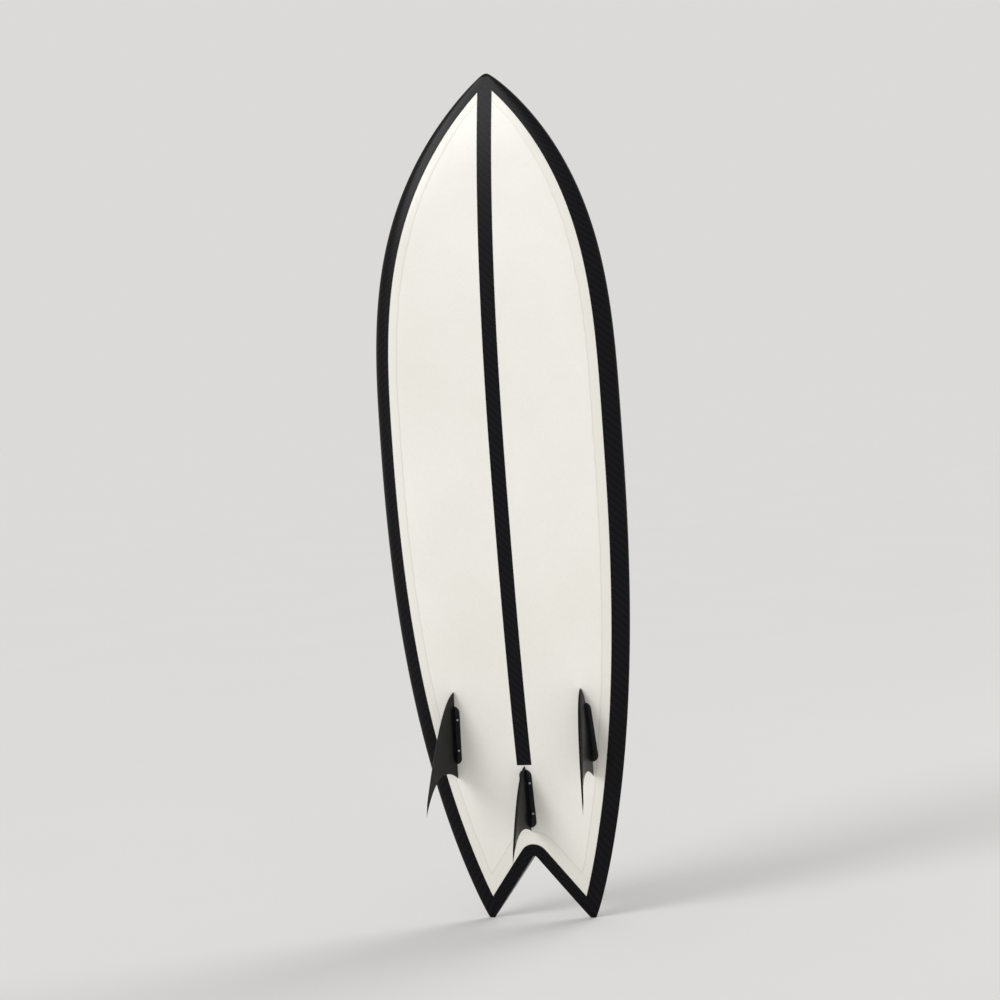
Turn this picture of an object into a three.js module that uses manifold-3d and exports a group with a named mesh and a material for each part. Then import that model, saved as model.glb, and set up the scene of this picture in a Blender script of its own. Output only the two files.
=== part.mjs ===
// A swallow-tail shortboard with three fins, 5 ft 10 in x 21 in x 2 7/16 in, standing on its two tail tips.
// Millimetres. +Z runs from the tail to the nose, -Y is the side that the bottom and the fins face,
// +Y the side that the deck faces, and the origin is on the floor under the middle of the board.
//
// From the inside out the board is a foam blank in two halves on a wooden stringer, a glass-and-resin
// skin in a bottom and a deck half, and carbon tape on the rails, the notch and the stringer line.
// The fin boxes and the leash cup are let into it, and the traction pad is glued on the deck.

import * as THREE from "three";
import { mergeVertices } from "three/addons/utils/BufferGeometryUtils.js";
import Module from "manifold-3d";

const wasm = await Module();
wasm.setup();

// ---------------------------------------------------------------- driving dimensions

const LENGTH = 1778;
const HALF_WIDTH = 266;
const WIDE_POINT_Z = 1010;
const TAIL_HALF_WIDTH = 118;
const NOSE_FULLNESS = 3.1; // a higher power keeps the outline full for longer
const TAIL_FULLNESS = 2.4;
const OUTLINE_CLOSE = 0.9; // a lower power closes the outline's ends more bluntly

const THICKNESS = 62;
const THICK_POINT_Z = 960;
const NOSE_THICKNESS = 12;
const TAIL_THICKNESS = 14;
const NOSE_FOIL = { run: 1.8, close: 1.15 };
const TAIL_FOIL = 2.2;

const FLAT_POINT_Z = 800; // where the bottom comes closest to -Y
const NOSE_ROCKER = 118;
const TAIL_ROCKER = 54;
const ROCKER_POWER = { nose: 2.6, tail: 2.1 };
const Y_SHIFT = 3; // puts the origin at the middle of the whole depth, fins included

const APEX_SHARE = { tail: 0.3, nose: 0.45 }; // the rail's widest line, as a share of the thickness
const TUCK_POWER = 9; // a higher power keeps the bottom flat closer to the rail
const DOME = { power: 2.6, close: 0.62 };
const CONCAVE = { depth: 2.5, from: 150, length: 1450, reach: 0.72 };

const NOTCH_DEPTH = 140; // to the sharp corner that the rounded end lies inside
const NOTCH_HALF_WIDTH = 108;
const NOTCH_RADIUS = 7;

const GAP = 0.3; // between any two pieces that touch
const SKIN = 1.2;
const TAPE = 0.5;
const STRINGER_WIDTH = 5;
const RAIL_TAPE_WIDTH = 34;
const NOTCH_TAPE_WIDTH = 26;
const STRINGER_TAPE_WIDTH = 32;
const STRIP_CLEARANCE = 2; // between the stringer tapes and what lies behind them

const FIN_BOX = { length: 122, width: 24, depth: 18, lip: 1.6, lipWidth: 1.5 };
const TAB = { length: 24, thickness: 6.4, depth: 14, pitch: 66 };
const SCREW = { radius: 2.4, length: 7.1, sunk: 0.5, cone: 2.3, point: 0.9 };
const SCREW_SEAT = { across: 8.3, tilt: THREE.MathUtils.degToRad(30) };
const SOCKET = { radius: 1.4, depth: 2.6 };
const SLOT_CLEARANCE = 0.4;
const THREAD_CLEARANCE = 0.35;

// x is the middle of the base, rear is the trailing edge's height, toe and cant are in degrees.
const FINS = {
  left: { x: -148, rear: 306, base: 186, depth: 150, toe: 3.2, cant: 6, side: -1 },
  right: { x: 148, rear: 306, base: 186, depth: 150, toe: 3.2, cant: 6, side: 1 },
  center: { x: 0, rear: 190, base: 140, depth: 132, toe: 0, cant: 0, side: 0 },
};
const FIN_RAKE = 0.24; // how far the tip lies behind the base, as a share of the base
const FIN_HOLLOW = 0.13; // how far the trailing edge curves in, as a share of the base
const FIN_CURVE = { leading: 1.7, hollow: 0.9, trailing: 4 }; // powers of the share of the depth
const FIN_ROWS = [0, 0.17, 0.34, 0.5, 0.65, 0.78, 0.89, 0.96]; // shares of the depth
const FIN_THICKNESS = 8;
const FIN_THINNING = 0.7; // the share of its thickness that a fin loses towards its tip
const FLAT_FACE = 0.4; // how far a side fin's flat face is from the middle of its tabs, in thicknesses
const FIN_EDGE = 0.25; // half the thickness left at the trailing edge
const FOIL_STEPS = 6;

const CUP = { x: 44, z: 162, lipRadius: 14, lip: 1.5, radius: 12, bore: 9.5, depth: 16, floor: 2 };
const CUP_SIDES = 20;
const PIN = { radius: 1.6, length: 22.4, sunk: 5.5 };

const PAD = { rear: 205, front: 492, thickness: 5, kick: 20, kickRun: 46, halfCentre: 24, split: 4 };
const PAD_OUTER = { rear: 126, front: 150 };
const ARCH = { height: 5, halfWidth: 14 };

const BEYOND = 300; // further out from the middle than any point of a cross section
const MARGIN = 30; // how far a cutter runs past what it cuts

// ---------------------------------------------------------------- the board's shape

const outline = (t, fullness) => (1 - t ** fullness) ** OUTLINE_CLOSE;
const halfWidth = (z) =>
  z > WIDE_POINT_Z
    ? HALF_WIDTH * outline((z - WIDE_POINT_Z) / (LENGTH - WIDE_POINT_Z), NOSE_FULLNESS)
    : TAIL_HALF_WIDTH +
      (HALF_WIDTH - TAIL_HALF_WIDTH) * outline((WIDE_POINT_Z - z) / WIDE_POINT_Z, TAIL_FULLNESS);

const thickness = (z) =>
  z > THICK_POINT_Z
    ? NOSE_THICKNESS +
      (THICKNESS - NOSE_THICKNESS) *
        (1 - ((z - THICK_POINT_Z) / (LENGTH - THICK_POINT_Z)) ** NOSE_FOIL.run) ** NOSE_FOIL.close
    : TAIL_THICKNESS +
      (THICKNESS - TAIL_THICKNESS) * (1 - ((THICK_POINT_Z - z) / THICK_POINT_Z) ** TAIL_FOIL);

// The rocker bends the nose and the tail away from -Y.
const rocker = (z) =>
  Y_SHIFT +
  (z > FLAT_POINT_Z
    ? NOSE_ROCKER * ((z - FLAT_POINT_Z) / (LENGTH - FLAT_POINT_Z)) ** ROCKER_POWER.nose
    : TAIL_ROCKER * ((FLAT_POINT_Z - z) / FLAT_POINT_Z) ** ROCKER_POWER.tail);

const apexShare = (z) => THREE.MathUtils.lerp(APEX_SHARE.tail, APEX_SHARE.nose, z / LENGTH);
const apexY = (z) => rocker(z) + apexShare(z) * thickness(z);

// Heights above the bottom's centre line at z, for a share s of the half width.
function bottomHeight(s, z) {
  const tuck = apexShare(z) * thickness(z) * (1 - Math.sqrt(1 - Math.min(1, s ** TUCK_POWER)));
  const along = Math.max(0, Math.sin((Math.PI * (z - CONCAVE.from)) / CONCAVE.length));
  const sideways = Math.max(0, 1 - (s / CONCAVE.reach) ** 2) ** 2;
  return tuck + CONCAVE.depth * along * sideways;
}

function deckHeight(s, z) {
  const apex = apexShare(z);
  return thickness(z) * (apex + (1 - apex) * Math.max(0, 1 - s ** DOME.power) ** DOME.close);
}

// A point of the outside, moved inwards by inset.
function surfacePoint(s, z, deck, inset) {
  const x = s * (halfWidth(z) - inset);
  const full = thickness(z);
  const apex = apexShare(z) * full;
  const height = deck ? deckHeight(s, z) : bottomHeight(s, z);
  const room = deck ? full - apex : apex;
  return [x, rocker(z) + apex + (height - apex) * (1 - inset / room)];
}

const STATIONS = 26;
const HALF_RING = 5;
const RAIL_CROWDING = 0.45; // a lower power puts more of the bottom's points near the rail

// The station heights are the same at every inset, so that nested surfaces have parallel facets.
const stationZ = (i) => LENGTH * (0.5 - 0.5 * Math.cos((Math.PI * i) / STATIONS));

// A closed geometry through equal rings of points, counter-clockwise seen from the last one's side,
// closed by a fan to a point at each end.
function loft(rings, first, last) {
  const around = rings[0].length;
  const points = [...rings.flat(), first, last];
  const [start, end] = [points.length - 2, points.length - 1];
  const faces = [];
  for (let j = 0; j < around; j++) {
    const next = (j + 1) % around;
    faces.push(start, next, j);
    for (let i = 0; i < rings.length - 1; i++) {
      const [a, b] = [i * around + j, i * around + next];
      faces.push(a, b, a + around, b, b + around, a + around);
    }
    faces.push((rings.length - 1) * around + j, (rings.length - 1) * around + next, end);
  }
  return new THREE.BufferGeometry()
    .setAttribute("position", new THREE.Float32BufferAttribute(points.flat(), 3))
    .setIndex(faces);
}

// One cross section, counter-clockwise seen from the nose, from the middle of the bottom.
function ring(z, inset) {
  const turn = (j) => Math.sin((Math.PI / 2) * (j / HALF_RING));
  const bottom = (j) => surfacePoint(turn(j) ** RAIL_CROWDING, z, false, inset);
  const deck = (j) => surfacePoint(turn(j), z, true, inset);
  const right = [];
  for (let j = 0; j <= HALF_RING; j++) right.push(bottom(j));
  for (let j = HALF_RING - 1; j >= 0; j--) right.push(deck(j));
  const left = right.slice(1, -1).reverse();
  return [...right, ...left.map(([x, y]) => [-x, y])];
}

// The board without its notch, as a closed geometry whose outside is moved inwards by inset.
function hull(inset) {
  const rings = [];
  for (let i = 0; i < STATIONS; i++) {
    const z = stationZ(i);
    rings.push(ring(z, inset).map(([x, y]) => [x, y, i ? z : inset]));
  }
  return loft(rings, [0, apexY(0), inset], [0, apexY(LENGTH), LENGTH - inset]);
}

// ---------------------------------------------------------------- solids

const MERGE_WITHIN = 1e-4;

function solid(geometry) {
  const bare = new THREE.BufferGeometry().setAttribute("position", geometry.getAttribute("position"));
  if (geometry.index) bare.setIndex(geometry.index);
  const merged = mergeVertices(bare, MERGE_WITHIN);
  return new wasm.Manifold(
    new wasm.Mesh({
      numProp: 3,
      vertProperties: merged.attributes.position.array,
      triVerts: new Uint32Array(merged.index.array),
    }),
  );
}

function piece(name, shape, material) {
  const { vertProperties, triVerts } = shape.getMesh();
  const geometry = new THREE.BufferGeometry()
    .setAttribute("position", new THREE.BufferAttribute(vertProperties, 3))
    .setIndex(new THREE.BufferAttribute(triVerts, 1));
  const flat = geometry.toNonIndexed();
  flat.computeVertexNormals();
  const mesh = new THREE.Mesh(flat, material);
  mesh.name = name;
  return mesh;
}

const union = (...shapes) => shapes.reduce((a, b) => a.add(b));

const outlineShape = (points) => new THREE.Shape(points.map(([a, b]) => new THREE.Vector2(a, b)));

function extrude(shape, depth) {
  return new THREE.ExtrudeGeometry(shape, { depth, bevelEnabled: false, curveSegments: 6 });
}

// A shape in X and Z, extruded between two values of Y.
function plate(shape, y0, y1) {
  return solid(extrude(shape, y1 - y0).rotateX(Math.PI / 2).translate(0, y1, 0));
}

// A shape in Z and Y, extruded right across the board.
function across(shape) {
  return solid(extrude(shape, 2 * BEYOND).rotateY(-Math.PI / 2).translate(BEYOND, 0, 0));
}

const box = (w, d, h, x, y, z) => solid(new THREE.BoxGeometry(w, d, h).translate(x, y, z));

// A cylinder along Y from y0 to y1.
const rod = (radius, y0, y1, sides = 14) =>
  solid(new THREE.CylinderGeometry(radius, radius, y1 - y0, sides).translate(0, (y0 + y1) / 2, 0));

// The straight-sided notch between the tail tips, with its walls moved into the board by inset.
function notch(inset) {
  const slope = Math.atan2(NOTCH_DEPTH, NOTCH_HALF_WIDTH);
  const half = NOTCH_HALF_WIDTH + inset / Math.sin(slope);
  const top = NOTCH_DEPTH + inset / Math.cos(slope);
  const radius = NOTCH_RADIUS + inset;
  const centre = top - radius / Math.cos(slope);
  const mouth = half * (1 + MARGIN / top);
  const wedge = new THREE.Shape();
  wedge.moveTo(-mouth, -MARGIN);
  wedge.lineTo(mouth, -MARGIN);
  wedge.absarc(0, centre, radius, Math.PI / 2 - slope, Math.PI / 2 + slope, false);
  return plate(wedge, -BEYOND, BEYOND);
}

// The board's outside with its notch, moved inwards by inset.
const body = (inset) => solid(hull(inset)).subtract(notch(inset));

// Everything on one side of the rails' widest line, for deck and bottom halves.
function beyondRail(side) {
  const line = [];
  for (let i = 0; i <= STATIONS; i++) line.push([stationZ(i), apexY(stationZ(i)) + (side * GAP) / 2]);
  const far = LENGTH + MARGIN;
  line[0][0] = -MARGIN;
  line[STATIONS][0] = far;
  return across(outlineShape([...line, [far, side * BEYOND], [-MARGIN, side * BEYOND]]));
}

// A frame on the outside: its Y axis points into the board, and its Z axis runs along the surface.
function surfaceFrame(x, z, deck, toe = 0) {
  const sample = (px, pz) => {
    const [, y] = surfacePoint(Math.abs(px) / halfWidth(pz), pz, deck, 0);
    return y;
  };
  const step = 8;
  const alongZ = (sample(x, z + step) - sample(x, z - step)) / (2 * step);
  const alongX = (sample(x + step, z) - sample(x - step, z)) / (2 * step);
  const group = new THREE.Group();
  group.position.set(x, sample(x, z), z);
  group.rotation.set(-Math.atan(alongZ), toe, Math.atan(alongX), "XZY");
  if (deck) group.rotateZ(Math.PI);
  group.updateMatrixWorld(true);
  return group;
}

// ---------------------------------------------------------------- materials

const paint = (color, roughness, metalness = 0) =>
  new THREE.MeshStandardMaterial({ color, roughness, metalness });
const WHITE_GLASS = paint(0xf2f1ec, 0.15);
const FOAM = paint(0xefe8d6, 0.9);
const WOOD = paint(0xc9a777, 0.6);
const CARBON = paint(0x0d0d0f, 0.2);
const FIN_BLACK = paint(0x0b0b0c, 0.25);
const BOX_BLACK = paint(0x151516, 0.5);
const STEEL = paint(0xb8babd, 0.3, 1);
const EVA = paint(0x18181a, 0.9);

const board = new THREE.Group();
const add = (parent, name, shape, material) => parent.add(piece(name, shape, material));

// ---------------------------------------------------------------- fins, boxes and grub screws

// A stadium along Z, centred, between two depths.
function stadium(length, width, y0, y1) {
  const r = width / 2;
  const straight = length / 2 - r;
  const slot = new THREE.Shape();
  slot.moveTo(r, -straight);
  slot.absarc(0, straight, r, 0, Math.PI, false);
  slot.absarc(0, -straight, r, Math.PI, 2 * Math.PI, false);
  return plate(slot, y0, y1);
}

// A fin box without its slots. With grow it is the pocket for the box, open to the outside.
function finBoxBody(grow) {
  const { length, width, depth, lip, lipWidth } = FIN_BOX;
  const top = grow ? -MARGIN : 0;
  const flange = 2 * (lipWidth + grow);
  const core = stadium(length + 2 * grow, width + 2 * grow, top, depth + grow);
  return core.add(stadium(length + flange, width + flange, top, lip + grow));
}

// Where a grub screw's axis meets the box's face, and which way it goes in.
function screwFrame(tabZ, inner) {
  const group = new THREE.Group();
  group.position.set(inner * SCREW_SEAT.across, 0, tabZ);
  group.rotation.set(0, 0, inner * SCREW_SEAT.tilt);
  group.updateMatrix();
  return group;
}

function finBox(inner) {
  let shape = finBoxBody(0);
  for (const tabZ of [-TAB.pitch / 2, TAB.pitch / 2]) {
    const deep = TAB.depth + 2 * SLOT_CLEARANCE;
    const [wide, long] = [TAB.thickness, TAB.length].map((size) => size + 2 * SLOT_CLEARANCE);
    const slot = box(wide, 2 * deep, long, 0, 0, tabZ);
    const bore = rod(SCREW.radius + THREAD_CLEARANCE, -SCREW.radius, SCREW.length + SCREW.radius);
    shape = shape.subtract(slot).subtract(bore.transform(screwFrame(tabZ, inner).matrix.elements));
  }
  return shape;
}

// A short set screw: a hexagon socket at its outer end and a cone at the end that grips the tab.
function grubScrew() {
  const { radius, length, sunk } = SCREW;
  const end = sunk + length;
  const profile = [
    [0, sunk],
    [radius, sunk],
    [radius, end - SCREW.cone],
    [SCREW.point, end],
    [0, end],
  ];
  const turned = solid(new THREE.LatheGeometry(profile.map(([r, y]) => new THREE.Vector2(r, y)), 14));
  return turned.subtract(rod(SOCKET.radius, 0, sunk + SOCKET.depth, 6));
}

// Leading and trailing edges of a fin, for a share s of its depth. They meet at the tip.
const leading = (s, base) => base * (0.5 - (1 + FIN_RAKE) * s ** FIN_CURVE.leading);
function trailing(s, base) {
  const hollow = FIN_HOLLOW * Math.sin(Math.PI * s ** FIN_CURVE.hollow);
  return base * (hollow - 0.5 - FIN_RAKE * s ** FIN_CURVE.trailing);
}

// Half the thickness of the standard four-digit foil, for a share c of the chord from its front.
const foil = (c) =>
  5 * (0.2969 * Math.sqrt(c) - 0.126 * c - 0.3516 * c ** 2 + 0.2843 * c ** 3 - 0.1036 * c ** 4);

// One round of a fin's section at a share s of its depth, counter-clockwise seen from its tip.
// side is 0 for a foil with two rounded faces, or the side that the one rounded face is on.
function finSection({ base, depth, cant, side }, s) {
  const [front, back] = [leading(s, base), trailing(s, base)];
  const thick = FIN_THICKNESS * (1 - FIN_THINNING * s) * (side ? 2 : 1);
  const outwards = s * depth * Math.tan(THREE.MathUtils.degToRad(cant)) - FIN_THICKNESS * FLAT_FACE;
  const lean = side * outwards;
  const points = [];
  for (let k = 0; k < 2 * FOIL_STEPS; k++) {
    const face = k <= FOIL_STEPS ? -1 : 1;
    const step = (k <= FOIL_STEPS ? k : 2 * FOIL_STEPS - k) / FOIL_STEPS;
    const c = 0.5 - 0.5 * Math.cos(Math.PI * step);
    const swell = face === -side ? 0 : foil(c) * thick + FIN_EDGE * (c > 0);
    points.push([lean + face * swell, -GAP - s * (depth - GAP), front + (back - front) * c]);
  }
  return points;
}

function finBlade(plan) {
  const rows = FIN_ROWS.map((s) => finSection(plan, s));
  const [tip] = finSection(plan, 1);
  return solid(loft(rows, [0, -GAP, 0], tip));
}

function fin(plan) {
  const root = 2; // how far a tab reaches into the blade
  const tabs = [-TAB.pitch / 2, TAB.pitch / 2].map((z) =>
    box(TAB.thickness, TAB.depth + root, TAB.length, 0, (TAB.depth - root) / 2, z),
  );
  return union(finBlade(plan), ...tabs);
}

const pockets = [];
for (const [name, plan] of Object.entries(FINS)) {
  const { x, rear, base, toe, side } = plan;
  const frame = surfaceFrame(x, rear + base / 2, false, THREE.MathUtils.degToRad(-side * toe));
  pockets.push(finBoxBody(GAP).transform(frame.matrix.elements));
  const inner = side > 0 ? -1 : 1;
  add(frame, `fin_box_${name}`, finBox(inner), BOX_BLACK);
  add(frame, `fin_${name}`, fin(plan), FIN_BLACK);
  [["rear", -TAB.pitch / 2], ["front", TAB.pitch / 2]].forEach(([end, tabZ]) => {
    const seat = screwFrame(tabZ, inner);
    add(seat, `grub_screw_${name}_${end}`, grubScrew(), STEEL);
    frame.add(seat);
  });
  board.add(frame);
}

// ---------------------------------------------------------------- leash cup

const cupFrame = surfaceFrame(CUP.x, CUP.z, true);

// The cup without its bore. With grow it is the pocket for the cup, open to the outside.
function cupBody(grow) {
  const top = grow ? -MARGIN : 0;
  const rim = rod(CUP.lipRadius + grow, top, CUP.lip + grow, CUP_SIDES);
  return rim.add(rod(CUP.radius + grow, top, CUP.depth + grow, CUP_SIDES));
}

const pinMatrix = new THREE.Matrix4().makeRotationZ(Math.PI / 2).setPosition(0, PIN.sunk, 0);
const pinRod = (grow) =>
  rod(PIN.radius + grow, -PIN.length / 2 - grow, PIN.length / 2 + grow, 12).transform(pinMatrix.elements);

function leashCup() {
  const bore = rod(CUP.bore, -MARGIN, CUP.depth - CUP.floor, CUP_SIDES);
  return cupBody(0).subtract(bore).subtract(pinRod(GAP));
}

pockets.push(cupBody(GAP).transform(cupFrame.matrix.elements));
add(cupFrame, "leash_cup", leashCup(), BOX_BLACK);
add(cupFrame, "leash_pin", pinRod(0), STEEL);
board.add(cupFrame);

// ---------------------------------------------------------------- blank, stringer and skins

const pocketed = (shape) => pockets.reduce((a, b) => a.subtract(b), shape);

// Everything between two values of X.
const slab = (x0, x1) => box(x1 - x0, 2 * BEYOND, 2 * (LENGTH + MARGIN), (x0 + x1) / 2, 0, 0);

const core = pocketed(body(SKIN + GAP));
const stringerX = STRINGER_WIDTH / 2;
const blankX = stringerX + GAP;
add(board, "stringer", core.intersect(slab(-stringerX, stringerX)), WOOD);
add(board, "foam_blank_left", core.intersect(slab(-BEYOND, -blankX)), FOAM);
add(board, "foam_blank_right", core.intersect(slab(blankX, BEYOND)), FOAM);

const skin = pocketed(body(0).subtract(body(SKIN)));
add(board, "bottom_glass", skin.intersect(beyondRail(-1)), WHITE_GLASS);
add(board, "deck_glass", skin.intersect(beyondRail(1)), WHITE_GLASS);

// ---------------------------------------------------------------- carbon tape

// A band in X and Z along the right-hand outline, from the tail to the nose.
function railBand(width) {
  const inner = [];
  for (let i = 0; i <= STATIONS; i++) {
    const z = stationZ(i);
    inner.push([Math.max(GAP / 2, halfWidth(z) - width), z]);
  }
  inner[0][1] = GAP;
  const far = LENGTH + MARGIN;
  const outer = [[BEYOND, GAP], [BEYOND, far], [GAP / 2, far]];
  return plate(outlineShape([...outer, ...inner.reverse()]), -BEYOND, BEYOND);
}

const mirrored = (shape) => shape.mirror([1, 0, 0]);
const tape = pocketed(body(-GAP - TAPE).subtract(body(-GAP)));
const rightBand = railBand(RAIL_TAPE_WIDTH);
add(board, "rail_tape_right", tape.intersect(rightBand), CARBON);
add(board, "rail_tape_left", tape.intersect(mirrored(rightBand)), CARBON);

const beyondBand = railBand(RAIL_TAPE_WIDTH + GAP);
const clearOfRails = (shape) => shape.subtract(beyondBand).subtract(mirrored(beyondBand));
const aboveFloor = box(2 * BEYOND, 2 * BEYOND, LENGTH, 0, 0, GAP + LENGTH / 2);
const notchBand = notch(NOTCH_TAPE_WIDTH).intersect(aboveFloor);
add(board, "notch_tape", clearOfRails(tape.intersect(notchBand)), CARBON);

function stringerStrip(from, deck) {
  const region = box(STRINGER_TAPE_WIDTH, 2 * BEYOND, LENGTH, 0, 0, from + LENGTH / 2);
  return clearOfRails(tape.intersect(region).intersect(beyondRail(deck ? 1 : -1)));
}
const centreMiddle = FINS.center.rear + FINS.center.base / 2;
const centreReach = Math.max(FINS.center.base / 2, FIN_BOX.length / 2 + FIN_BOX.lipWidth);
const bottomFrom = centreMiddle + centreReach + STRIP_CLEARANCE;
const deckFrom = PAD.front + STRIP_CLEARANCE;
add(board, "stringer_tape_bottom", stringerStrip(bottomFrom, false), CARBON);
add(board, "stringer_tape_deck", stringerStrip(deckFrom, true), CARBON);

// ---------------------------------------------------------------- traction pad

// The pad's thickness at z: flat, then rising to the kick at its rear edge.
function padHeight(z, x) {
  const up = THREE.MathUtils.clamp(1 - (z - PAD.rear) / PAD.kickRun, 0, 1);
  const arch = Math.max(0, 1 - (x / ARCH.halfWidth) ** 2);
  return PAD.thickness + PAD.kick * up ** 1.5 + ARCH.height * arch * (1 - up);
}

// A pad piece between two edges, each a function of z. It reaches into the deck, which is cut from it.
function padPiece(from, to) {
  const rows = [];
  const zSteps = 8;
  const xSteps = 4;
  const sunk = 3;
  const crowding = 1.4; // puts more of the rows in the kick
  for (let i = 0; i <= zSteps; i++) {
    const z = PAD.rear + (PAD.front - PAD.rear) * (i / zSteps) ** crowding;
    const row = [];
    for (let k = 0; k <= xSteps; k++) {
      const x = from(z) + (to(z) - from(z)) * (k / xSteps);
      const [, y] = surfacePoint(Math.abs(x) / halfWidth(z), z, true, 0);
      row.push([x, y - sunk, y + padHeight(z, x), z]);
    }
    rows.push(row);
  }
  const points = [];
  const faces = [];
  const wide = xSteps + 1;
  const layer = rows.length * wide;
  for (const level of [1, 2]) {
    rows.flat().forEach((corner) => points.push(corner[0], corner[level], corner[3]));
  }
  const quad = (a, b, c, d) => faces.push(a, b, c, a, c, d);
  for (let i = 0; i < zSteps; i++) {
    for (let k = 0; k < xSteps; k++) {
      const a = i * wide + k;
      quad(a, a + 1, a + wide + 1, a + wide);
      quad(layer + a, layer + a + wide, layer + a + wide + 1, layer + a + 1);
    }
    const [l, r] = [i * wide, i * wide + xSteps];
    quad(l, l + wide, layer + l + wide, layer + l);
    quad(r + wide, r, layer + r, layer + r + wide);
  }
  for (let k = 0; k < xSteps; k++) {
    const far = zSteps * wide + k;
    quad(k + 1, k, layer + k, layer + k + 1);
    quad(far, far + 1, layer + far + 1, layer + far);
  }
  return solid(
    new THREE.BufferGeometry()
      .setAttribute("position", new THREE.Float32BufferAttribute(points, 3))
      .setIndex(faces),
  );
}

const padEdge = (z) =>
  THREE.MathUtils.lerp(PAD_OUTER.rear, PAD_OUTER.front, (z - PAD.rear) / (PAD.front - PAD.rear));
const wingEdge = PAD.halfCentre + PAD.split;
const raised = body(-GAP);
const padOn = (from, to) => padPiece(from, to).subtract(raised);
add(board, "tail_pad_center", padOn(() => -PAD.halfCentre, () => PAD.halfCentre), EVA);
add(board, "tail_pad_right", padOn(() => wingEdge, padEdge), EVA);
add(board, "tail_pad_left", padOn((z) => -padEdge(z), () => -wingEdge), EVA);

export default board;
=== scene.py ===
import math

import bmesh
import bpy
import numpy as np
from mathutils import Matrix, Vector


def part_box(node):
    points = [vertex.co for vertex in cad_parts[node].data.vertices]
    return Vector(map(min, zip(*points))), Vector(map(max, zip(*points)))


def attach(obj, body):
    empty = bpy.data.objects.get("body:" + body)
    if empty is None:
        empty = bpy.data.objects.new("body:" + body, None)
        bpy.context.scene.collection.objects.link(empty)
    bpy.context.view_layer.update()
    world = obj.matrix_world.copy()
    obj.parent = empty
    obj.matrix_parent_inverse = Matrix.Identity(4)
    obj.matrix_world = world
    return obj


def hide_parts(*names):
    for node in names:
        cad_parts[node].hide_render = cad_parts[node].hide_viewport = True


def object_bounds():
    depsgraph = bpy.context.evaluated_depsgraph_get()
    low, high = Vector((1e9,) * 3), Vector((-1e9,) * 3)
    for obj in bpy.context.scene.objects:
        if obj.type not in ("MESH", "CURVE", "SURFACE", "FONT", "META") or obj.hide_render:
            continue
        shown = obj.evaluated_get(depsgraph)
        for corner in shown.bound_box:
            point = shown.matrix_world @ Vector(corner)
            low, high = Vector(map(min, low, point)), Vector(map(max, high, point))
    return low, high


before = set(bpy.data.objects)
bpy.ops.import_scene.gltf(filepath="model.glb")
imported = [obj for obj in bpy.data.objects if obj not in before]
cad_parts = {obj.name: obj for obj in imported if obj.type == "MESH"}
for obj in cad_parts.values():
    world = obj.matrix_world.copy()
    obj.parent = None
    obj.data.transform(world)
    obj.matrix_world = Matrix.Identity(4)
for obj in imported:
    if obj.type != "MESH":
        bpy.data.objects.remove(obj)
cad_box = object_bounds()

# ---------------------------------------------------------------- driving dimensions, in metres

MM = 0.001
TINY = 1e-7

LENGTH = 1778 * MM
HALF_WIDTH = 266 * MM
WIDE_POINT_Z = 1010 * MM
TAIL_HALF_WIDTH = 118 * MM
NOSE_FULLNESS = 3.1
TAIL_FULLNESS = 2.4
OUTLINE_CLOSE = 0.9
NOSE_TIP_ROUND = 2.5 * MM

THICKNESS = 62 * MM
THICK_POINT_Z = 960 * MM
NOSE_THICKNESS = 12 * MM
TAIL_THICKNESS = 14 * MM
NOSE_FOIL_RUN, NOSE_FOIL_CLOSE = 1.8, 1.15
TAIL_FOIL = 2.2
NOSE_BLUNT = 8 * MM

FLAT_POINT_Z = 800 * MM
NOSE_ROCKER, NOSE_ROCKER_POWER = 118 * MM, 2.6
TAIL_ROCKER, TAIL_ROCKER_POWER = 54 * MM, 2.1
Y_SHIFT = 3 * MM

APEX_SHARE_TAIL, APEX_SHARE_NOSE = 0.3, 0.45
TUCK_POWER = 9
DOME_POWER, DOME_CLOSE = 2.6, 0.62
CONCAVE, CONCAVE_FROM, CONCAVE_LENGTH, CONCAVE_REACH = 2.5 * MM, 150 * MM, 1450 * MM, 0.72

NOTCH_DEPTH = 140 * MM
NOTCH_HALF_WIDTH = 108 * MM
NOTCH_RADIUS = 7 * MM
NOTCH_EDGE = 2 * MM
TIP_EDGE = 1.2 * MM

GAP = 0.3 * MM
TAPE_GAP = 0.06 * MM
SKIN = 1.2 * MM
TAPE = 0.5 * MM
TAPE_PROUD = 0.6 * MM
RAIL_TAPE_WIDTH = 34 * MM
NOTCH_TAPE_WIDTH = 26 * MM
STRINGER_TAPE_WIDTH = 32 * MM

BOX_LENGTH, BOX_WIDTH, BOX_DEPTH = 122 * MM, 24 * MM, 18 * MM
BOX_LIP, BOX_LIP_WIDTH, BOX_EDGE = 1.6 * MM, 1.5 * MM, 0.4 * MM
TAB_LENGTH, TAB_THICKNESS, TAB_DEPTH, TAB_PITCH = 24 * MM, 6.4 * MM, 14 * MM, 66 * MM
TAB_ROUND = 1.2 * MM
SLOT_CLEARANCE, THREAD_CLEARANCE = 0.4 * MM, 0.35 * MM
SCREW_RADIUS, SCREW_LENGTH, SCREW_SUNK = 2.4 * MM, 7.1 * MM, 0.5 * MM
SCREW_CONE, SCREW_POINT, SCREW_EDGE = 2.3 * MM, 0.9 * MM, 0.4 * MM
THREAD_PITCH, THREAD_HEIGHT, THREAD_ROUNDS = 0.8 * MM, 0.32 * MM, 5
SCREW_ACROSS, SCREW_TILT = 8.3 * MM, math.radians(30)
SOCKET_RADIUS, SOCKET_DEPTH = 1.4 * MM, 2.6 * MM

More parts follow.
